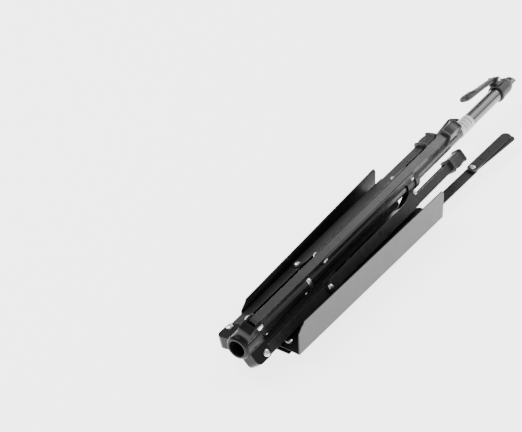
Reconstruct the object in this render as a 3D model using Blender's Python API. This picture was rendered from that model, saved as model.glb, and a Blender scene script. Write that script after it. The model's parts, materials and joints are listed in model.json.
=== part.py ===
"""Folding music stand, packed for carrying: a tripod base lying feet-up in its folded desk.

Frame: +Y along the folded stand, from the leg hub to the clutch, +Z up, origin on the table
under the middle of the stand. Lengths are in metres.
"""
import math

import bmesh
import bpy
from mathutils import Matrix, Vector

MM = 0.001

# ---- driving dimensions -------------------------------------------------------------------
GAP = 0.3 * MM                    # running gap between neighbouring pieces
SHEET = 1.2 * MM                  # pressed steel sheet

TUBE_X = -5.0 * MM                # tripod axis, beside the desk's centre line
TUBE_Z = 36.5 * MM                # tripod axis above the table
HUB_Y = -255.5 * MM               # plane of the leg pivots

TUBE_R = 7.75 * MM
TUBE_BORE_R = 6.9 * MM
TUBE_START = -8 * MM              # distances along the tube count from the leg pivots
TUBE_END = 398 * MM
UPPER_START = 398.4 * MM
UPPER_END = 504 * MM
SLEEVE_R = 9.3 * MM
SLEEVE_BORE_R = 8.05 * MM
SLEEVE_START = 8.6 * MM
SLEEVE_END = 94 * MM
SLEEVE_RIVETS = ((332, 17), (75, 51), (321, 51), (348, 82))   # degrees round, mm along
BAND_START = 400 * MM
BAND_END = 426 * MM

HUB_R = 12.5 * MM
HUB_BORE_R = 8.3 * MM
HUB_FRONT = -20 * MM
HUB_BACK = 8 * MM
LUG_WIDTH = 14 * MM
LUG_TOP = 25.6 * MM
LEG_ANGLES = (72, 192, 312)       # degrees round the tube, 0 at +X and 90 straight up
LEG_PIVOT_R = 20.6 * MM
LEG_WIDTH = 8.4 * MM
LEG_DEPTH = 10 * MM
LEG_LENGTH = 374 * MM
FOOT_START = 356 * MM
FOOT_LENGTH = 26 * MM

MID_PIVOT = 113 * MM              # leg pivot to brace pivot
BRACE_SPAN = 172 * MM             # brace pivot to collar pivot, along the tube
BRACE_WIDTH = 11.2 * MM
COLLAR_PIVOT_R = 12.5 * MM
COLLAR_R = 9.6 * MM
COLLAR_BORE_R = 8.1 * MM
COLLAR_RIM_R = 11.4 * MM

INNER_R = 6.3 * MM
INNER_START = 150 * MM
INNER_END = 531 * MM
CLUTCH_START = 492 * MM
CLUTCH_END = 519 * MM
CLUTCH_R = 10.2 * MM
LEVER_ANGLE = 118                 # degrees round the tube
LEVER_PIVOT = 500 * MM
LEVER_PIVOT_R = 14.5 * MM
LEVER_LENGTH = 67 * MM

SPINE_WIDTH = 44 * MM
SPINE_DEPTH = 10 * MM
FLANGE_INSET = 20 * MM             # the spine's flanges start this far in from its near end
TRAY_NEAR = 27 * MM               # near edge of the folded half-trays
TRAY_LENGTH = 260 * MM
TRAY_WIDTH = 33 * MM
TRAY_HALF = 33 * MM               # desk centre line to ledge
LEDGE_HEIGHT = 35 * MM
TRAY_PIVOT_IN = 19 * MM           # tray pivot, in from the ledge
TRAY_PIVOT_UP = 10 * MM           # tray pivot, on from the near edge
TRAY_SPREAD = 1.9                 # degrees each folded half-tray stands open
LEFT_LEVEL = SPINE_DEPTH + GAP
RIGHT_LEVEL = LEFT_LEVEL + SHEET + GAP
ARM_WIDTH = 12 * MM
ARM_LENGTH = 192 * MM
ARM_IN = 15.5 * MM                # arm centre line, in from the ledge
ARM_START = 146 * MM              # arm pivot, on from the tray pivot
FINGER_LENGTH = 74 * MM
FINGER_FANS = (3.5, 0.0)          # degrees outward, lower and upper finger off the arm's line
RIVET_R = 1.6 * MM
HOLE_R = 1.9 * MM
SEGMENTS = 24


# ---- helpers ------------------------------------------------------------------------------
def clear_scene():
    for obj in list(bpy.data.objects):
        bpy.data.objects.remove(obj, do_unlink=True)


def make_material(name, colour, roughness, metallic):
    material = bpy.data.materials.new(name)
    material.use_nodes = True
    shader = material.node_tree.nodes["Principled BSDF"]
    shader.inputs["Base Color"].default_value = (*colour, 1.0)
    shader.inputs["Roughness"].default_value = roughness
    shader.inputs["Metallic"].default_value = metallic
    return material


def add_object(name, mesh_builder, look, matrix):
    """Turn a filled bmesh into a named object with its own copy of the look."""
    colour, roughness, metallic = look
    bmesh.ops.recalc_face_normals(mesh_builder, faces=mesh_builder.faces)
    mesh = bpy.data.meshes.new(name)
    mesh_builder.to_mesh(mesh)
    mesh_builder.free()
    mesh.shade_smooth()
    mesh.set_sharp_from_angle(angle=math.radians(35))
    mesh.materials.append(make_material(name, colour, roughness, metallic))
    obj = bpy.data.objects.new(name, mesh)
    obj.matrix_world = matrix
    bpy.context.scene.collection.objects.link(obj)
    return obj


def add_cutter(name, mesh_builder, matrix):
    cutter = add_object(name, mesh_builder, BLACK_STEEL, matrix)
    cutter.hide_render = True
    cutter.display_type = "WIRE"
    return cutter


def combine(target, tool, operation="DIFFERENCE"):
    modifier = target.modifiers.new(operation.title(), "BOOLEAN")
    modifier.operation = operation
    modifier.solver = "EXACT"
    modifier.object = tool


def extrude_outline(points, width):
    """Solid from a (y, z) outline, extruded evenly both ways along x."""
    builder = bmesh.new()
    face = builder.faces.new([builder.verts.new((-width / 2, y, z)) for y, z in points])
    extruded = bmesh.ops.extrude_face_region(builder, geom=[face])
    moved = [item for item in extruded["geom"] if isinstance(item, bmesh.types.BMVert)]
    bmesh.ops.translate(builder, verts=moved, vec=(width, 0, 0))
    return builder


def extrude_plan(points, low, high):
    """Solid from an (x, y) outline, extruded from height low to high."""
    builder = bmesh.new()
    face = builder.faces.new([builder.verts.new((x, y, low)) for x, y in points])
    extruded = bmesh.ops.extrude_face_region(builder, geom=[face])
    moved = [item for item in extruded["geom"] if isinstance(item, bmesh.types.BMVert)]
    bmesh.ops.translate(builder, verts=moved, vec=(0, 0, high - low))
    return builder


def loft(rings):
    """Closed solid through rings of points that all have the same count."""
    builder = bmesh.new()
    loops = [[builder.verts.new(point) for point in ring] for ring in rings]
    count = len(loops[0])
    for first, second in zip(loops, loops[1:]):
        for i in range(count):
            j = (i + 1) % count
            builder.faces.new((first[i], first[j], second[j], second[i]))
    builder.faces.new(loops[0])
    builder.faces.new(loops[-1])
    return builder


def turn(profile, segments=SEGMENTS):
    """Ring about the y axis from a closed (radius, y) outline."""
    builder = bmesh.new()
    loops = []
    for step in range(segments):
        angle = 2 * math.pi * step / segments
        across, up = math.cos(angle), math.sin(angle)
        loops.append([builder.verts.new((r * across, y, r * up)) for r, y in profile])
    count = len(profile)
    for step in range(segments):
        first, second = loops[step], loops[(step + 1) % segments]
        for i in range(count):
            j = (i + 1) % count
            builder.faces.new((first[i], first[j], second[j], second[i]))
    return builder


def tube(outer, inner, start, end):
    return turn([(outer, start), (outer, end), (inner, end), (inner, start)])


def arc(centre, radius, start, end, steps):
    """Points of an arc in a plane, angles in degrees."""
    points = []
    for step in range(steps + 1):
        angle = math.radians(start + (end - start) * step / steps)
        points.append((centre[0] + radius * math.cos(angle), centre[1] + radius * math.sin(angle)))
    return points


def disc_ring(radius, height, segments):
    return [(radius * math.cos(2 * math.pi * i / segments),
             radius * math.sin(2 * math.pi * i / segments), height) for i in range(segments)]


def rivet(shank_radius, head_radius, head_height, low, high, segments=16):
    """Rivet along z: domed heads outside low and high, shank between them."""
    dome = [(head_radius, 0.0), (head_radius * 0.86, 0.55), (head_radius * 0.5, 0.92),
            (head_radius * 0.15, 1.0)]
    rings = [disc_ring(r, low - head_height * rise, segments) for r, rise in reversed(dome)]
    rings.append(disc_ring(shank_radius, low, segments))
    rings.append(disc_ring(shank_radius, high, segments))
    rings += [disc_ring(r, high + head_height * rise, segments) for r, rise in dome]
    return loft(rings)


def rounded_box_ring(y, centre_z, width, height, power=4.0, count=20):
    """Superellipse section across the y axis."""
    points = []
    for i in range(count):
        angle = 2 * math.pi * i / count
        across, up = math.cos(angle), math.sin(angle)
        x = math.copysign(abs(across) ** (2 / power), across) * width / 2
        z = math.copysign(abs(up) ** (2 / power), up) * height / 2
        points.append((x, y, centre_z + z))
    return points


def around_tube(angle, along=0.0, radius=0.0):
    """Frame at an angle round the tripod axis: y along the tube, z outward."""
    turned = Matrix.Rotation(math.radians(90 - angle), 4, "Y")
    base = Matrix.Translation((TUBE_X, HUB_Y, TUBE_Z))
    return base @ turned @ Matrix.Translation((0, along, radius))


ALONG_X = Matrix.Rotation(math.pi / 2, 4, "Y")     # lays a z rivet along x

BLACK_STEEL = ((0.012, 0.012, 0.013), 0.42, 0.0)
BLACK_PLASTIC = ((0.016, 0.016, 0.017), 0.5, 0.0)
RUBBER = ((0.02, 0.02, 0.02), 0.8, 0.0)
SILVER = ((0.62, 0.62, 0.63), 0.3, 1.0)
ZINC = ((0.7, 0.7, 0.7), 0.3, 1.0)
WHITE = ((0.85, 0.85, 0.85), 0.5, 0.0)


# ---- folded desk --------------------------------------------------------------------------
def desk_point(side, from_ledge, along, height=0.0):
    """Place on a half-tray; side is +1 for the right tray, along counts from its near edge."""
    return Vector((side * (TRAY_HALF - from_ledge), HUB_Y + TRAY_NEAR + along, height))


def tray_frame(side, from_ledge=TRAY_PIVOT_IN, along=TRAY_PIVOT_UP):
    """Frame on a half-tray, turned with the tray; the default is on its pivot."""
    pivot = Matrix.Translation(desk_point(side, TRAY_PIVOT_IN, TRAY_PIVOT_UP))
    turned = Matrix.Rotation(math.radians(-side * TRAY_SPREAD), 4, "Z")
    shift = Vector((side * (TRAY_PIVOT_IN - from_ledge), along - TRAY_PIVOT_UP, 0))
    return pivot @ turned @ Matrix.Translation(shift)


def hole_cutter(name, matrix, radius=HOLE_R, reach=40 * MM):
    builder = loft([disc_ring(radius, -reach / 2, 16), disc_ring(radius, reach / 2, 16)])
    return add_cutter(name, builder, matrix)


def build_spine():
    near = HUB_Y + TRAY_NEAR - 2 * MM
    far = near + TRAY_LENGTH - 3 * MM
    half = SPINE_WIDTH / 2
    inner = half - SHEET
    web = SPINE_DEPTH - SHEET
    section = [(-half, 0), (-inner, 0), (-inner, web), (inner, web), (inner, 0), (half, 0),
               (half, SPINE_DEPTH), (-half, SPINE_DEPTH)]
    builder = loft([[(x, y, z) for x, z in section] for y in (near, far)])
    spine = add_object("desk_spine", builder, BLACK_STEEL, Matrix.Identity(4))
    cut_back = [(near - 5 * MM, -5 * MM), (near + FLANGE_INSET, -5 * MM), (near + FLANGE_INSET + web, web),
                (near - 5 * MM, web)]
    combine(spine, add_cutter("flange_tool", extrude_outline(cut_back, 60 * MM), Matrix.Identity(4)))
    return spine


def ledge_outline(base):
    """Side outline of the upright ledge, from its pivot-frame y and z."""
    near = -TRAY_PIVOT_UP
    far = near + TRAY_LENGTH
    top = base + LEDGE_HEIGHT
    shoulder = base + 28 * MM
    outline = [(near, base), (far, base), (far, top - 5 * MM), (far - 4 * MM, top)]
    outline += [(near + 9 * MM, top), (near + 7 * MM, top - 3 * MM), (near + 4 * MM, shoulder + 2 * MM)]
    outline.append((near, shoulder - 2 * MM))
    return outline


def build_tray(side, name, base):
    ledge_x = side * TRAY_PIVOT_IN
    ledge = extrude_outline(ledge_outline(base), SHEET)
    bmesh.ops.translate(ledge, verts=ledge.verts, vec=(ledge_x - side * SHEET / 2, 0, 0))
    near = -TRAY_PIVOT_UP
    far = near + TRAY_LENGTH
    inner_x = side * (TRAY_PIVOT_IN - TRAY_WIDTH)
    corner = 5 * MM
    step = math.copysign(corner, ledge_x - inner_x)
    plan = [(ledge_x, near), (ledge_x, far), (inner_x + step, far), (inner_x, far - corner),
            (inner_x, near + corner), (inner_x + step, near)]
    matrix = tray_frame(side)
    tray = add_object(name, extrude_plan(plan, base, base + SHEET), BLACK_STEEL, matrix)
    combine(tray, add_cutter(name + "_ledge_tool", ledge, matrix), "UNION")
    return tray


def bar_plan(start, length, width, steps=6):
    """Round-ended strip from a pivot at (0, start), pointing along y."""
    half = width / 2
    return arc((0, start + length), half, 0, 180, steps) + arc((0, start), half, 180, 360, steps)


def build_desk_side(side, word, base, spine):
    tray = build_tray(side, word + "_tray", base)
    pivot = tray_frame(side)
    hole = hole_cutter(word + "_tray_hole", pivot)
    combine(tray, hole)
    combine(spine, hole)
    low = SPINE_DEPTH - SHEET - GAP
    high = base + SHEET + GAP
    add_object(word + "_tray_rivet", rivet(RIVET_R, 3.6 * MM, 1.6 * MM, low, high), ZINC, pivot)

    arm_frame = tray_frame(side, ARM_IN, TRAY_PIVOT_UP + ARM_START)
    arm_low = base + SHEET + GAP
    arm_high = arm_low + SHEET
    arm = add_object(word + "_arm", extrude_plan(bar_plan(0, ARM_LENGTH, ARM_WIDTH), arm_low, arm_high),
                     BLACK_STEEL, arm_frame)
    arm_hole = hole_cutter(word + "_arm_hole", arm_frame)
    combine(tray, arm_hole)
    combine(arm, arm_hole)
    # the arm rivet is flush below, so that the tray still folds over the spine
    add_object(word + "_arm_rivet", arm_rivet(base, arm_high + GAP), ZINC, arm_frame)

    tip = arm_frame @ Matrix.Translation((0, ARM_LENGTH, 0))
    tip_hole = hole_cutter(word + "_finger_hole", tip)
    combine(arm, tip_hole)
    level = arm_high + GAP
    for place, fan in zip(("lower", "upper"), FINGER_FANS):
        frame = tip @ Matrix.Rotation(math.radians(-fan * side), 4, "Z")
        builder = extrude_plan(bar_plan(0, FINGER_LENGTH, ARM_WIDTH), level, level + SHEET)
        finger = add_object(word + "_finger_" + place, builder, BLACK_STEEL, frame)
        combine(finger, tip_hole)
        level += SHEET + GAP
    add_object(word + "_finger_rivet", rivet(RIVET_R, 3.4 * MM, 1.4 * MM, arm_low - GAP, level),
               ZINC, tip)


def arm_rivet(low, high):
    """Flush at the bottom, domed on top."""
    segments = 16
    head = 3.2 * MM
    rings = [disc_ring(RIVET_R, low, segments), disc_ring(RIVET_R, high, segments)]
    rings += [disc_ring(head, high, segments), disc_ring(head * 0.85, high + 0.8 * MM, segments),
              disc_ring(head * 0.4, high + 1.3 * MM, segments)]
    return loft(rings)


def build_tilt_clevis():
    """Socket under the spine that the inner tube's tongue bolts into when the stand is up."""
    middle = HUB_Y + TRAY_NEAR + 150 * MM
    top = SPINE_DEPTH - SHEET - GAP
    outer, inner = 11 * MM, 9.4 * MM
    low = 1.4 * MM
    length = 34 * MM
    web = top - 1.6 * MM
    section = [(-outer, low), (-inner, low), (-inner, web), (inner, web), (inner, low),
               (outer, low), (outer, top), (-outer, top)]
    builder = loft([[(x, y, z) for x, z in section] for y in (-length / 2, length / 2)])
    frame = Matrix.Translation((0, middle, 0))
    clevis = add_object("tilt_clevis", builder, BLACK_STEEL, frame)
    axis = frame @ Matrix.Translation((0, -9 * MM, 4 * MM)) @ ALONG_X
    hole = hole_cutter("tilt_hole", axis, 1.9 * MM)
    combine(clevis, hole)
    segments = 16
    bolt = loft([disc_ring(2.4 * MM, -13.2 * MM, 6), disc_ring(2.4 * MM, -11.3 * MM, 6)])
    shank = loft([disc_ring(1.6 * MM, -11.5 * MM, segments), disc_ring(1.6 * MM, 17 * MM, segments)])
    head = add_object("tilt_bolt", bolt, ZINC, axis)
    combine(head, add_cutter("tilt_bolt_shank", shank, axis), "UNION")
    nut = turn([(3.2 * MM, 11.4 * MM), (3.2 * MM, 15.6 * MM), (1.9 * MM, 15.6 * MM), (1.9 * MM, 11.4 * MM)],
               12)
    lay = frame @ Matrix.Translation((0, -9 * MM, 4 * MM)) @ Matrix.Rotation(-math.pi / 2, 4, "Z")
    add_object("tilt_nut", nut, ZINC, lay)


# ---- tripod -------------------------------------------------------------------------------
def build_hub():
    axis = around_tube(90)
    chamfer = 2 * MM
    profile = [(HUB_BORE_R, HUB_FRONT), (HUB_R - chamfer, HUB_FRONT), (HUB_R, HUB_FRONT + chamfer),
               (HUB_R, HUB_BACK - chamfer), (HUB_R - chamfer, HUB_BACK), (HUB_BORE_R, HUB_BACK)]
    hub = add_object("leg_hub", turn(profile, 36), BLACK_STEEL, axis)
    root = 8.8 * MM
    lug = [(-16 * MM, root), (-16 * MM, 17 * MM)]
    lug += arc((-10 * MM, LUG_TOP - 6 * MM), 6 * MM, 180, 90, 4)
    lug += arc((2 * MM, LUG_TOP - 5 * MM), 5 * MM, 90, 0, 4)
    lug.append((7 * MM, root))
    slot_floor = LEG_PIVOT_R - LEG_DEPTH / 2 - 2 * GAP
    slot = [(-8 * MM, slot_floor), (30 * MM, slot_floor), (30 * MM, 40 * MM), (-8 * MM, 40 * MM)]
    for number, angle in enumerate(LEG_ANGLES, 1):
        frame = around_tube(angle)
        block = add_cutter(f"lug_tool_{number}", extrude_outline(lug, LUG_WIDTH), frame)
        combine(hub, block, "UNION")
        width = LEG_WIDTH + 2 * GAP
        combine(hub, add_cutter(f"slot_tool_{number}", extrude_outline(slot, width), frame))
    return hub


def leg_outline():
    half = LEG_DEPTH / 2
    outline = arc((0, 0), half, 90, 270, 8)
    outline += [(LEG_LENGTH, -half), (LEG_LENGTH, half)]
    return outline


def build_leg(number, angle, hub):
    frame = around_tube(angle, 0, LEG_PIVOT_R)
    leg = add_object(f"leg_{number}", extrude_outline(leg_outline(), LEG_WIDTH), BLACK_STEEL, frame)
    half = LEG_DEPTH / 2
    channel = [(-20 * MM, -20 * MM), (LEG_LENGTH + 9 * MM, -20 * MM), (LEG_LENGTH + 9 * MM, half - SHEET),
               (-20 * MM, half - SHEET)]
    width = LEG_WIDTH - 2 * SHEET
    combine(leg, add_cutter(f"leg_channel_{number}", extrude_outline(channel, width), frame))

    hub_hole = hole_cutter(f"hub_hole_{number}", frame @ ALONG_X)
    combine(hub, hub_hole)
    combine(leg, hub_hole)
    reach = LUG_WIDTH / 2 + GAP
    add_object(f"hub_rivet_{number}", rivet(RIVET_R, 3.8 * MM, 1.8 * MM, -reach, reach), ZINC,
               frame @ ALONG_X)
    mid = around_tube(angle, MID_PIVOT, LEG_PIVOT_R)
    mid_hole = hole_cutter(f"mid_hole_{number}", mid @ ALONG_X)
    combine(leg, mid_hole)
    reach = BRACE_WIDTH / 2 + GAP
    add_object(f"brace_rivet_{number}", rivet(RIVET_R, 3.4 * MM, 1.5 * MM, -reach, reach), ZINC,
               mid @ ALONG_X)
    build_foot(number, angle)
    return mid_hole


def build_foot(number, angle):
    """Rubber boot with a raised rim at each end and a crowned sole."""
    start = FOOT_START
    sections = [(0, 15.6, 16.2, 0), (2.0, 15.6, 16.2, 0), (3.6, 12.8, 13.8, 0.2), (9, 12.6, 14.6, 0.6),
                (13, 12.6, 15.0, 0.8), (17, 12.6, 14.6, 0.6), (22.4, 12.8, 13.8, 0.2),
                (24.0, 15.6, 16.2, 0), (26, 15.6, 16.2, 0)]
    stretch = FOOT_LENGTH / (26 * MM)
    rings = [rounded_box_ring(y * MM * stretch, lift * MM, width * MM, height * MM, 5.0)
             for y, width, height, lift in sections]
    frame = around_tube(angle, start, LEG_PIVOT_R)
    foot = add_object(f"foot_{number}", loft(rings), RUBBER, frame)
    depth = LEG_LENGTH - start + GAP
    half = LEG_DEPTH / 2 + GAP
    pocket = [(-9 * MM, -half), (depth, -half), (depth, half), (-9 * MM, half)]
    width = LEG_WIDTH + 2 * GAP
    combine(foot, add_cutter(f"foot_pocket_{number}", extrude_outline(pocket, width), frame))


def build_brace(number, angle, mid_hole):
    """Channel that straddles its leg, open side outward, its far end dropped to the collar."""
    outer = LEG_DEPTH / 2
    web_top = -LEG_DEPTH / 2 - 2 * GAP
    web_low = web_top - SHEET
    drop = COLLAR_PIVOT_R - LEG_PIVOT_R
    tip = 3.5 * MM
    outline = arc((0, 0), outer, 90, 235, 7)
    outline += [(6 * MM, web_low), (150 * MM, web_low), (BRACE_SPAN - 7 * MM, drop - tip)]
    outline += arc((BRACE_SPAN, drop), tip, -90, 45, 5)
    outline.append((BRACE_SPAN - 4 * MM, outer))
    frame = around_tube(angle, MID_PIVOT, LEG_PIVOT_R)
    brace = add_object(f"brace_{number}", extrude_outline(outline, BRACE_WIDTH), BLACK_STEEL, frame)
    clear = 30 * MM
    web_end = BRACE_SPAN - 30 * MM
    past = BRACE_SPAN + 20 * MM
    inside = [(-clear, -clear), (28 * MM, -clear), (28 * MM, web_top), (web_end, web_top),
              (web_end, -clear), (past, -clear), (past, clear), (-clear, clear)]
    width = LEG_WIDTH + 2 * GAP
    combine(brace, add_cutter(f"brace_inside_{number}", extrude_outline(inside, width), frame))
    combine(brace, mid_hole)


def build_collar():
    """Sliding collar: a short bush with a rim and one lug for each brace."""
    pivot = MID_PIVOT + BRACE_SPAN
    axis = around_tube(90, pivot)
    profile = [(COLLAR_BORE_R, -7 * MM), (COLLAR_R, -7 * MM), (COLLAR_R, 6 * MM),
               (COLLAR_RIM_R, 7 * MM), (COLLAR_RIM_R, 14 * MM), (COLLAR_R, 15 * MM),
               (COLLAR_BORE_R, 15 * MM)]
    collar = add_object("sliding_collar", turn(profile), BLACK_PLASTIC, axis)
    tip = 2.5 * MM
    root = COLLAR_R - 1.1 * MM
    lug = [(-4.5 * MM, root), (4.5 * MM, root)] + arc((0, COLLAR_PIVOT_R), tip, 30, 150, 5)
    for number, angle in enumerate(LEG_ANGLES, 1):
        frame = around_tube(angle, pivot)
        tool = add_cutter(f"collar_lug_tool_{number}", extrude_outline(lug, 5 * MM), frame)
        combine(collar, tool, "UNION")
        pin_frame = around_tube(angle, pivot, COLLAR_PIVOT_R) @ ALONG_X
        combine(collar, hole_cutter(f"collar_hole_{number}", pin_frame, 1.3 * MM, 12 * MM))
        reach = LEG_WIDTH / 2
        pin = loft([disc_ring(1.0 * MM, -reach, 12), disc_ring(1.0 * MM, reach, 12)])
        add_object(f"collar_pin_{number}", pin, ZINC, pin_frame)


def build_tubes():
    axis = around_tube(90)
    add_object("main_tube", tube(TUBE_R, TUBE_BORE_R, TUBE_START, TUBE_END), BLACK_STEEL, axis)
    add_object("upper_tube", tube(TUBE_R, TUBE_BORE_R, UPPER_START, UPPER_END), SILVER, axis)
    add_object("lower_sleeve", tube(SLEEVE_R, SLEEVE_BORE_R, SLEEVE_START, SLEEVE_END), BLACK_STEEL, axis)
    band_low = TUBE_R + 0.15 * MM
    band_high = TUBE_R + 0.45 * MM
    add_object("label_band", tube(band_high, band_low, BAND_START, BAND_END), WHITE, axis)
    sides = 24
    rings = []
    flats = [(INNER_START, 2, 2), (INNER_END - 18 * MM, 2, 2), (INNER_END - 10 * MM, 1.9, 0.9),
             (INNER_END, 1.9, 0.8)]
    for along, across, thick in flats:
        rings.append(rounded_box_ring(along, 0, across * INNER_R, thick * INNER_R, 2.0, sides))
    inner = add_object("inner_tube", loft(rings), SILVER, axis)
    bore = loft([rounded_box_ring(INNER_START - 9 * MM, 0, 1.7 * INNER_R, 1.7 * INNER_R, 2.0, sides),
                 rounded_box_ring(INNER_END - 24 * MM, 0, 1.7 * INNER_R, 1.7 * INNER_R, 2.0, sides)])
    combine(inner, add_cutter("inner_bore_tool", bore, axis))
    eye = around_tube(90, INNER_END - 5 * MM)
    combine(inner, hole_cutter("inner_eye_tool", eye, 2.1 * MM))
    for number, (angle, along) in enumerate(SLEEVE_RIVETS, 1):
        frame = around_tube(angle, along * MM, SLEEVE_R)
        low = GAP * 0.5
        dome = loft([disc_ring(1.5 * MM, low, 12), disc_ring(1.2 * MM, low + 0.5 * MM, 12),
                     disc_ring(0.5 * MM, low + 0.8 * MM, 12)])
        add_object(f"sleeve_rivet_{number}", dome, ZINC, frame)


def build_clutch():
    axis = around_tube(90)
    step = UPPER_END + GAP
    profile = [(TUBE_R + GAP, CLUTCH_START), (CLUTCH_R - 0.6 * MM, CLUTCH_START),
               (CLUTCH_R, CLUTCH_START + 1 * MM), (CLUTCH_R, CLUTCH_START + 4 * MM),
               (CLUTCH_R - 0.7 * MM, CLUTCH_START + 5 * MM), (CLUTCH_R - 1.0 * MM, CLUTCH_END - 6 * MM),
               (CLUTCH_R - 2.4 * MM, CLUTCH_END), (INNER_R + GAP, CLUTCH_END), (INNER_R + GAP, step),
               (TUBE_R + GAP, step)]
    clutch = add_object("clutch_body", turn(profile), BLACK_PLASTIC, axis)
    pivot_y = LEVER_PIVOT
    root = CLUTCH_R - 1.4 * MM
    top = LEVER_PIVOT_R + 3.4 * MM
    ears = [(pivot_y - 5 * MM, root), (pivot_y + 7 * MM, root)]
    ears += arc((pivot_y, LEVER_PIVOT_R), top - LEVER_PIVOT_R, 20, 160, 6)
    frame = around_tube(LEVER_ANGLE)
    combine(clutch, add_cutter("ear_tool", extrude_outline(ears, 13 * MM), frame), "UNION")
    slot_low = CLUTCH_R + 0.2 * MM
    slot = [(pivot_y - 9 * MM, slot_low), (pivot_y + 9 * MM, slot_low), (pivot_y + 9 * MM, 30 * MM),
            (pivot_y - 9 * MM, 30 * MM)]
    combine(clutch, add_cutter("ear_slot_tool", extrude_outline(slot, 7.6 * MM), frame))
    pivot = around_tube(LEVER_ANGLE, pivot_y, LEVER_PIVOT_R)
    pin_hole = hole_cutter("lever_hole", pivot @ ALONG_X, 1.5 * MM)
    combine(clutch, pin_hole)
    add_object("clutch_pin", rivet(1.2 * MM, 2.2 * MM, 0.8 * MM, -6.8 * MM, 6.8 * MM, 12), ZINC,
               pivot @ ALONG_X)
    sections = [(3.2, 0.0, 5.0, 4.0), (1.5, 0.0, 7.0, 6.4), (-2.5, 0.3, 7.0, 6.6), (-7, 1.8, 7.0, 5.6),
                (-11, 2.6, 9.5, 4.8), (-30, 4.6, 11.0, 4.2), (-44, 6.0, 12.0, 5.0), (-58, 7.6, 12.6, 6.4),
                (-64, 8.2, 11.8, 6.0), (-LEVER_LENGTH / MM, 8.4, 9.0, 4.4)]
    rings = [rounded_box_ring(y * MM, z * MM, width * MM, height * MM, 3.4)
             for y, z, width, height in sections]
    lever = add_object("clutch_lever", loft(rings), BLACK_PLASTIC, pivot)
    combine(lever, pin_hole)


def main():
    clear_scene()
    spine = build_spine()
    build_desk_side(1, "right", RIGHT_LEVEL, spine)
    build_desk_side(-1, "left", LEFT_LEVEL, spine)
    build_tilt_clevis()
    hub = build_hub()
    for number, angle in enumerate(LEG_ANGLES, 1):
        mid_hole = build_leg(number, angle, hub)
        build_brace(number, angle, mid_hole)
    build_collar()
    build_tubes()
    build_clutch()


main()
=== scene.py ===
"""Looks of the folded music stand: materials, fine pieces, floor, light and camera."""
import json
import math

import bmesh
import bpy
from mathutils import Matrix, Vector

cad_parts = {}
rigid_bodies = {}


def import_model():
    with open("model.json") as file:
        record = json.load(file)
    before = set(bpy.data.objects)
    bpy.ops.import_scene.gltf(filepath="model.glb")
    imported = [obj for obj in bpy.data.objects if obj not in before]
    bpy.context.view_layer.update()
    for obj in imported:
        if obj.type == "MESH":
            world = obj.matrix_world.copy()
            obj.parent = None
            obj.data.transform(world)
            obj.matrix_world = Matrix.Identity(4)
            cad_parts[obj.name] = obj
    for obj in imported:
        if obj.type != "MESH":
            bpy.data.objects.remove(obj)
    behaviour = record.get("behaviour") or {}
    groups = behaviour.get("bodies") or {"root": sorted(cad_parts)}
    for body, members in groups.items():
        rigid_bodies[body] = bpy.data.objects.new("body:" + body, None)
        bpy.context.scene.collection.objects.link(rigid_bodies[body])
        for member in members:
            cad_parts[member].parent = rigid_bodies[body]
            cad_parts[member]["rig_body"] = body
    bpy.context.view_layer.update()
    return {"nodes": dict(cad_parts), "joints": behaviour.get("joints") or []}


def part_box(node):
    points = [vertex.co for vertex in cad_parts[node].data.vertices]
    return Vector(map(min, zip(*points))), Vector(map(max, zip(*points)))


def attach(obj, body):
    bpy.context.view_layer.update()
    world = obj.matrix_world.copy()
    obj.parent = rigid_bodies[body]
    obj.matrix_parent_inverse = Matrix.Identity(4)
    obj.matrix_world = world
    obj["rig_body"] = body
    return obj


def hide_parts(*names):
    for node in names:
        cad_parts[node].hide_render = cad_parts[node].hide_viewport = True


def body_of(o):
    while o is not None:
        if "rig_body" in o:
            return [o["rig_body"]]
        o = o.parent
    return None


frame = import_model()

MM = 0.001
JOINTS = {joint["name"]: joint for joint in frame["joints"]}
ALONG = Vector((0, 1, 0))
FLOOR_GLOW = 3.2                      # keeps the ground pale without washing out the blacks
FLOOR_HALF = 30.0                     # half the floor's side, in metres
COAT_ROUGHNESS = 0.3
COAT_GRAIN = (1500, 0.35, 0.00006)    # noise scale, bump strength and bump depth
TUBE_LOW, TUBE_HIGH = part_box("main_tube")
AXIS_X = (TUBE_LOW.x + TUBE_HIGH.x) / 2
AXIS_Z = (TUBE_LOW.z + TUBE_HIGH.z) / 2


# ---- node materials -----------------------------------------------------------------------
def start_material(name):
    material = bpy.data.materials.new(name)
    material.use_nodes = True
    tree = material.node_tree
    shader = tree.nodes["Principled BSDF"]
    place = tree.nodes.new("ShaderNodeTexCoord")
    return material, tree, shader, place


def add_noise(tree, place, scale, detail=3.0, stretch=(1, 1, 1)):
    mapping = tree.nodes.new("ShaderNodeMapping")
    mapping.inputs["Scale"].default_value = stretch
    noise = tree.nodes.new("ShaderNodeTexNoise")
    noise.inputs["Scale"].default_value = scale
    noise.inputs["Detail"].default_value = detail
    tree.links.new(place.outputs["Object"], mapping.inputs["Vector"])
    tree.links.new(mapping.outputs["Vector"], noise.inputs["Vector"])
    return noise


def ramp_colour(tree, source, low, high, start=0.3, end=0.7):
    ramp = tree.nodes.new("ShaderNodeValToRGB")
    ramp.color_ramp.elements[0].position = start
    ramp.color_ramp.elements[1].position = end
    ramp.color_ramp.elements[0].color = (*low, 1)
    ramp.color_ramp.elements[1].color = (*high, 1)
    tree.links.new(source, ramp.inputs["Fac"])
    return ramp.outputs["Color"]


def spread_value(tree, source, low, high):
    spread = tree.nodes.new("ShaderNodeMapRange")
    spread.inputs["From Min"].default_value = 0.3
    spread.inputs["From Max"].default_value = 0.7
    spread.inputs["To Min"].default_value = low
    spread.inputs["To Max"].default_value = high
    tree.links.new(source, spread.inputs["Value"])
    return spread.outputs["Result"]


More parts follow.
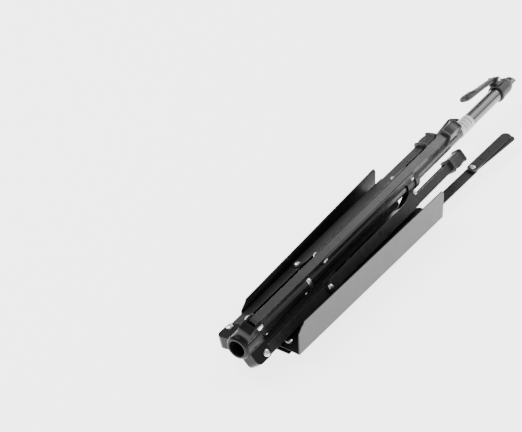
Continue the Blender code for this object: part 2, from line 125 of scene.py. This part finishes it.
def add_bump(tree, shader, source, strength, depth):
    bump = tree.nodes.new("ShaderNodeBump")
    bump.inputs["Strength"].default_value = strength
    bump.inputs["Distance"].default_value = depth
    tree.links.new(source, bump.inputs["Height"])
    tree.links.new(bump.outputs["Normal"], shader.inputs["Normal"])


def grey(value):
    return (value, value, value * 1.02)


def surface(name, shades, shade_scale, roughness, rough_scale, grain, stretch=(1, 1, 1)):
    """Material with drifting shade, drifting roughness and a fine bump."""
    material, tree, shader, place = start_material(name)
    drift = add_noise(tree, place, shade_scale, 4.0, stretch)
    colour = ramp_colour(tree, drift.outputs["Fac"], grey(shades[0]), grey(shades[1]))
    tree.links.new(colour, shader.inputs["Base Color"])
    smear = add_noise(tree, place, rough_scale, 5.0, stretch)
    tree.links.new(spread_value(tree, smear.outputs["Fac"], *roughness), shader.inputs["Roughness"])
    grain_scale, strength, depth = grain
    fine = add_noise(tree, place, grain_scale, 2.0)
    add_bump(tree, shader, fine.outputs["Fac"], strength, depth)
    return material, tree, shader, place


def powder_coat(name, shades, roughness, coat, level):
    material, _, shader, _ = surface(name, shades, 45, roughness, 120, COAT_GRAIN)
    shader.inputs["Specular IOR Level"].default_value = level
    shader.inputs["Coat Weight"].default_value = coat
    shader.inputs["Coat Roughness"].default_value = COAT_ROUGHNESS
    return material


def moulded_plastic():
    material, _, shader, _ = surface("moulded_plastic", (0.012, 0.02), 90, (0.42, 0.55), 240,
                                     (2600, 0.5, 0.00005))
    shader.inputs["Specular IOR Level"].default_value = 0.5
    return material


def rubber():
    material, _, shader, _ = surface("moulded_rubber", (0.007, 0.013), 160, (0.38, 0.52), 300,
                                     (1900, 0.6, 0.00008))
    shader.inputs["Sheen Weight"].default_value = 0.08
    shader.inputs["Sheen Roughness"].default_value = 0.5
    return material


def drawn_tube(name, shades, roughness):
    material, _, shader, _ = surface(name, shades, 40, roughness, 300, (900, 0.12, 0.00003),
                                     (1.0, 0.02, 1.0))
    shader.inputs["Metallic"].default_value = 1.0
    shader.inputs["Anisotropic"].default_value = 0.35
    return material


def zinc_plate():
    material, _, shader, _ = surface("zinc_plate", (0.6, 0.8), 700, (0.18, 0.36), 900,
                                     (2400, 0.2, 0.00003))
    shader.inputs["Metallic"].default_value = 1.0
    return material


def plain_film():
    """White film with three faint grey rings."""
    material, tree, shader, place = start_material("white_film")
    split = tree.nodes.new("ShaderNodeSeparateXYZ")
    tree.links.new(place.outputs["Object"], split.inputs["Vector"])
    low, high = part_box("label_band")
    fraction = tree.nodes.new("ShaderNodeMapRange")
    fraction.inputs["From Min"].default_value = low.y
    fraction.inputs["From Max"].default_value = high.y
    tree.links.new(split.outputs["Y"], fraction.inputs["Value"])
    ramp = tree.nodes.new("ShaderNodeValToRGB")
    ramp.color_ramp.interpolation = "CONSTANT"
    white, faint = (0.62, 0.62, 0.62, 1), (0.2, 0.2, 0.205, 1)
    stops = [(0.0, white), (0.3, faint), (0.36, white), (0.52, faint), (0.56, white), (0.74, faint),
             (0.8, white)]
    elements = ramp.color_ramp.elements
    elements[0].color = white
    elements.remove(elements[1])
    for position, colour in stops[1:]:
        elements.new(position).color = colour
    tree.links.new(fraction.outputs["Result"], ramp.inputs["Fac"])
    tree.links.new(ramp.outputs["Color"], shader.inputs["Base Color"])
    scuff = add_noise(tree, place, 400)
    tree.links.new(spread_value(tree, scuff.outputs["Fac"], 0.3, 0.45), shader.inputs["Roughness"])
    return material


BLACK_COAT = powder_coat("black_powder_coat", (0.006, 0.012), (0.26, 0.36), 0.25, 0.45)
HUB_COAT = powder_coat("hub_powder_coat", (0.004, 0.009), (0.2, 0.3), 0.0, 0.16)
LEDGE_COAT = powder_coat("tray_powder_coat", (0.006, 0.011), (0.28, 0.36), 0.1, 0.27)
BAR_COAT = powder_coat("bar_powder_coat", (0.01, 0.018), (0.26, 0.36), 0.3, 0.5)
PLASTIC = moulded_plastic()
RUBBER = rubber()
SILVER = drawn_tube("drawn_silver_tube", (0.13, 0.22), (0.24, 0.38))
ZINC = zinc_plate()
FILM = plain_film()


def choose_look(node):
    if node.startswith("foot"):
        return RUBBER
    if node == "leg_hub":
        return HUB_COAT
    if node in ("sliding_collar", "clutch_body", "clutch_lever"):
        return PLASTIC
    if node in ("upper_tube", "inner_tube"):
        return SILVER
    if node == "label_band":
        return FILM
    if node.endswith("tray"):
        return LEDGE_COAT
    if node.startswith(("leg_1", "leg_2", "leg_3", "brace_")) and "rivet" not in node:
        return BAR_COAT
    if "rivet" in node or "_pin" in node or node in ("tilt_bolt", "tilt_nut"):
        return ZINC
    return BLACK_COAT


EDGE_WELD = 0.01 * MM
EDGE_ANGLE = math.radians(40)         # sharper edges than this are rounded
FLAT_ANGLE = math.radians(1)          # faces nearer than this to one plane are joined first
HUB_SEGMENTS = 3
BRACE_EDGE = 0.35                     # bevel width of the braces, in mm
# bevel width in mm, by the ending of the node's name
EDGE_WIDTHS = {"tray": 0.35, "arm": 0.3, "finger_lower": 0.3, "finger_upper": 0.3, "leg_1": 0.35,
               "leg_2": 0.35, "leg_3": 0.35, "desk_spine": 0.3, "leg_hub": 0.7, "upper_tube": 0.25,
               "lower_sleeve": 0.3, "clutch_body": 0.3}


def soften_edges(piece, width, segments):
    """Round the sharp edges, after joining split corners and coplanar faces."""
    weld = piece.modifiers.new("weld", "WELD")
    weld.merge_threshold = EDGE_WELD
    flatten = piece.modifiers.new("flatten", "DECIMATE")
    flatten.decimate_type = "DISSOLVE"
    flatten.angle_limit = FLAT_ANGLE
    bevel = piece.modifiers.new("soft_edges", "BEVEL")
    bevel.width = width
    bevel.segments = segments
    bevel.limit_method = "ANGLE"
    bevel.angle_limit = EDGE_ANGLE
    bevel.harden_normals = True
    bevel.use_clamp_overlap = False


def softened_copy(name, node, look, width, segments=2):
    """Copy of a CAD node with rounded edges, shown in its place."""
    mesh = node.data.copy()
    mesh.materials.clear()
    mesh.materials.append(look)
    piece = bpy.data.objects.new(f"{name}_edged", mesh)
    bpy.context.scene.collection.objects.link(piece)
    soften_edges(piece, width, segments)
    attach(piece, body_of(node)[0])
    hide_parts(name)


def dress_nodes():
    for name, node in list(frame["nodes"].items()):
        look = choose_look(name)
        node.data.materials.clear()
        node.data.materials.append(look)
        if name.startswith("brace") and "rivet" not in name:
            softened_copy(name, node, look, BRACE_EDGE * MM)
        for ending, width in EDGE_WIDTHS.items():
            if name.endswith(ending):
                segments = HUB_SEGMENTS if name == "leg_hub" else 2
                softened_copy(name, node, look, width * MM, segments)


# ---- mesh helpers -------------------------------------------------------------------------
def finish_mesh(name, builder, look, body, matrix=Matrix.Identity(4), crease=40):
    bmesh.ops.recalc_face_normals(builder, faces=builder.faces)
    mesh = bpy.data.meshes.new(name)
    builder.to_mesh(mesh)
    builder.free()
    mesh.shade_smooth()
    mesh.set_sharp_from_angle(angle=math.radians(crease))
    mesh.materials.append(look)
    piece = bpy.data.objects.new(name, mesh)
    bpy.context.scene.collection.objects.link(piece)
    piece.matrix_world = matrix
    if body:
        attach(piece, body)
    return piece


def loft(rings):
    builder = bmesh.new()
    loops = [[builder.verts.new(point) for point in ring] for ring in rings]
    count = len(loops[0])
    for first, second in zip(loops, loops[1:]):
        for i in range(count):
            j = (i + 1) % count
            builder.faces.new((first[i], first[j], second[j], second[i]))
    builder.faces.new(loops[0])
    builder.faces.new(loops[-1])
    return builder


def turn(profile, segments=64):
    """Ring about the y axis from a closed (radius, y) outline."""
    builder = bmesh.new()
    loops = []
    for step in range(segments):
        angle = 2 * math.pi * step / segments
        loops.append([builder.verts.new((r * math.cos(angle), y, r * math.sin(angle)))
                      for r, y in profile])
    count = len(profile)
    for step in range(segments):
        first, second = loops[step], loops[(step + 1) % segments]
        for i in range(count):
            j = (i + 1) % count
            builder.faces.new((first[i], first[j], second[j], second[i]))
    return builder


def disc_ring(radius, height, segments=32):
    return [(radius * math.cos(2 * math.pi * i / segments),
             radius * math.sin(2 * math.pi * i / segments), height) for i in range(segments)]


def box_ring(y, centre_z, width, height, power=4.0, count=32):
    """Superellipse section across the y axis."""
    points = []
    for i in range(count):
        angle = 2 * math.pi * (i + 0.5) / count
        across, up = math.cos(angle), math.sin(angle)
        x = math.copysign(abs(across) ** (2 / power), across) * width / 2
        z = math.copysign(abs(up) ** (2 / power), up) * height / 2
        points.append((x, y, centre_z + z))
    return points


def pivot_frame(joint_name, flip=1):
    """Frame on a joint: x along its axis, y along the tube, z outward."""
    joint = JOINTS[joint_name]
    across = Vector(joint["axis"]).normalized() * flip
    out = across.cross(ALONG)
    turned = Matrix((across, ALONG, out)).transposed().to_4x4()
    return Matrix.Translation(Vector(joint["pos_m"])) @ turned


# ---- fine pieces --------------------------------------------------------------------------
def dome_head(name, radius, height, matrix, body):
    """Zinc rivet head: a short straight wall under a low dome."""
    rings = [disc_ring(radius, 0), disc_ring(radius, height * 0.25)]
    for step in range(1, 7):
        angle = math.radians(15 * step)
        size = radius * math.cos(angle) if step < 6 else radius * 0.1
        rings.append(disc_ring(size, height * (0.25 + 0.75 * math.sin(angle))))
    return finish_mesh(name, loft(rings), ZINC, body, matrix, 50)


BRACE_HALF = 5.6 * MM                 # half the brace's width
PIVOT_DROP = 8.1 * MM                 # from the brace's own pivot in to the collar pivot
RIVET_HEAD_R = 2.6 * MM
RIVET_HEAD_HEIGHT = 1.3 * MM


def brace_end_rivets():
    """Rivet heads on both cheeks of each brace, over the collar pins."""
    low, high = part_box("collar_pin_1")
    for number in (1, 2, 3):
        base = pivot_frame(f"brace_{number}_fold", -1)
        along = (low.y + high.y) / 2 - base.translation.y
        for side, word in ((1, "right"), (-1, "left")):
            outward = Matrix.Rotation(side * math.pi / 2, 4, "Y")
            place = Matrix.Translation((side * BRACE_HALF, along, -PIVOT_DROP)) @ outward
            head = dome_head(f"brace_end_rivet_{number}_{word}", RIVET_HEAD_R, RIVET_HEAD_HEIGHT,
                             base @ place, f"brace_{number}")


def rubber_feet():
    """Moulded boots: rolled rims, waisted body, crowned and grooved sole."""
    sections = [(0.0, 13.8, 14.4, 0.0), (0.4, 15.5, 16.1, 0.0), (1.3, 15.7, 16.3, 0.0),
                (2.0, 15.1, 15.7, 0.0), (3.0, 13.0, 13.8, 0.0), (4.4, 12.5, 13.4, 0.1)]
    for step in range(1, 12):
        share = step / 12
        crown = math.sin(math.pi * share)
        groove = 0.3 if step % 3 == 0 else 0.0
        sections.append((4.4 + 17.2 * share, 12.5 - groove, 13.4 + 1.6 * crown - groove,
                         0.1 + 0.7 * crown))
    sections += [(21.6, 12.5, 13.4, 0.1), (23.0, 13.0, 13.8, 0.0), (24.0, 15.1, 15.7, 0.0),
                 (24.7, 15.7, 16.3, 0.0), (25.6, 15.5, 16.1, 0.0), (26.0, 13.8, 14.4, 0.0),
                 (26.0, 11.6, 12.2, 0.0), (25.2, 10.8, 11.4, 0.0)]
    for number in (1, 2, 3):
        low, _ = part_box(f"foot_{number}")
        base = pivot_frame(f"leg_{number}_fold")
        start = low.y - base.translation.y
        rings = [box_ring(start + y * MM, lift * MM, width * MM, height * MM, 5.0)
                 for y, width, height, lift in sections]
        foot = finish_mesh(f"rubber_foot_{number}", loft(rings), RUBBER, f"leg_{number}", base)
        foot.modifiers.new("smooth", "SUBSURF").levels = 1
        foot.modifiers["smooth"].render_levels = 1
        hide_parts(f"foot_{number}")


def tube_trim():
    """Crimped ring at the open end of the lower sleeve."""
    axis = Matrix.Translation((AXIS_X, 0, AXIS_Z))
    _, sleeve_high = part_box("lower_sleeve")
    end = sleeve_high.y
    profile = [(9.35, -5.0), (9.7, -4.6), (9.8, -3.8), (9.7, -0.6), (9.3, 0.2), (8.4, 0.6),
               (8.0, 0.5), (8.0, 0.1), (9.35, 0.05)]
    outline = [(r * MM, end + y * MM) for r, y in profile]
    ring = finish_mesh("sleeve_end_ring", turn(outline), ZINC, "tripod", axis)


RIB_COUNT = 6
# the rest of the rib sizes are in mm, or shares of a size
RIB_FIRST = 46          # lever pivot to the first rib
RIB_PITCH = 3.0
RIB_HALF = 4.6          # half a rib's length
RIB_BASE = 8.6          # a line just under the lever's face starts at this height
RIB_RISE = 0.125        # and rises this much per mm
RIB_PROUD = 0.35        # the ribs' middles stand this far off that line
RIB_LEAST = 0.15        # section radius: this, and up to RIB_SWELL more mid-rib
RIB_SWELL = 0.65
RIB_FLATTEN = 0.8       # section height over width
RIB_STEPS = 8
RIB_SIDES = 12


def lever_ribs():
    """Grip ribs across the outer face of the clamp lever, thinner towards their ends."""
    base = pivot_frame("clutch_lever_turn", -1)
    for number in range(RIB_COUNT):
        y = -(RIB_FIRST + RIB_PITCH * number)
        z = RIB_BASE + RIB_RISE * (-y - RIB_FIRST) + RIB_PROUD
        rings = []
        for step in range(RIB_STEPS + 1):
            share = step / RIB_STEPS
            x = -RIB_HALF + 2 * RIB_HALF * share
            size = RIB_SWELL * math.sin(math.pi * (0.12 + 0.76 * share)) + RIB_LEAST
            ring = []
            for i in range(RIB_SIDES):
                angle = 2 * math.pi * i / RIB_SIDES
                along = y + size * math.cos(angle)
                up = z + size * RIB_FLATTEN * math.sin(angle)
                ring.append((x * MM, along * MM, up * MM))
            rings.append(ring)
        rib = finish_mesh(f"lever_rib_{number + 1}", loft(rings), PLASTIC, "lever", base)


# ---- floor, light, camera -----------------------------------------------------------------
def build_floor():
    builder = bmesh.new()
    half = FLOOR_HALF
    corners = [(-half, -half, 0), (half, -half, 0), (half, half, 0), (-half, half, 0)]
    builder.faces.new([builder.verts.new(corner) for corner in corners])
    floor = finish_mesh("floor", builder, floor_material(), None)


def floor_material():
    material = bpy.data.materials.new("pale_floor")
    material.use_nodes = True
    shader = material.node_tree.nodes["Principled BSDF"]
    shader.inputs["Base Color"].default_value = (0.95, 0.95, 0.95, 1)
    shader.inputs["Roughness"].default_value = 0.9
    shader.inputs["Specular IOR Level"].default_value = 0.1
    shader.inputs["Emission Color"].default_value = (1, 1, 1, 1)
    shader.inputs["Emission Strength"].default_value = FLOOR_GLOW
    return material


SKY_STRENGTH = 0.6
# name, place in metres, side in metres, power in watts
LIGHTS = [("key", (-1.2, -0.6, 2.2), 1.4, 42), ("fill", (1.8, -1.4, 1.2), 1.6, 16),
          ("back", (0.4, 2.2, 1.3), 1.6, 26)]


def area_light(name, place, target, size, power):
    data = bpy.data.lights.new(name, "AREA")
    data.shape = "SQUARE"
    data.size = size
    data.energy = power
    lamp = bpy.data.objects.new(name, data)
    bpy.context.scene.collection.objects.link(lamp)
    lamp.location = place
    lamp.rotation_euler = (Vector(target) - Vector(place)).to_track_quat("-Z", "Y").to_euler()


def build_light():
    world = bpy.data.worlds.new("studio")
    bpy.context.scene.world = world
    world.use_nodes = True
    background = world.node_tree.nodes["Background"]
    background.inputs["Color"].default_value = (1, 1, 1, 1)
    background.inputs["Strength"].default_value = SKY_STRENGTH
    for name, place, size, power in LIGHTS:
        area_light(name, place, (0, 0, 0), size, power)


CAMERA_ANGLES = (35.6, 36.3, -2.4)     # azimuth, elevation and roll, in degrees
CAMERA_DISTANCE = 1.5626               # metres
CAMERA_LENS = 105.1                    # mm, on a sensor 36 mm wide
CAMERA_TARGET = Vector((AXIS_X - 0.1013, -0.0872, 0.030))


def build_camera():
    azimuth, elevation, roll = (math.radians(angle) for angle in CAMERA_ANGLES)
    away = Vector((math.sin(azimuth) * math.cos(elevation), -math.cos(azimuth) * math.cos(elevation),
                   math.sin(elevation)))
    right = (-away).cross(Vector((0, 0, 1))).normalized()
    up = right.cross(-away)
    across = right * math.cos(roll) + up * math.sin(roll)
    upward = -right * math.sin(roll) + up * math.cos(roll)
    data = bpy.data.cameras.new("camera")
    data.sensor_width = 36.0
    data.lens = CAMERA_LENS
    data.clip_start = 0.05
    camera = bpy.data.objects.new("camera", data)
    bpy.context.scene.collection.objects.link(camera)
    turned = Matrix((across, upward, away)).transposed().to_4x4()
    camera.matrix_world = Matrix.Translation(CAMERA_TARGET + away * CAMERA_DISTANCE) @ turned
    bpy.context.scene.camera = camera


build_camera()
build_floor()
build_light()
dress_nodes()
brace_end_rivets()
rubber_feet()
tube_trim()
lever_ribs()
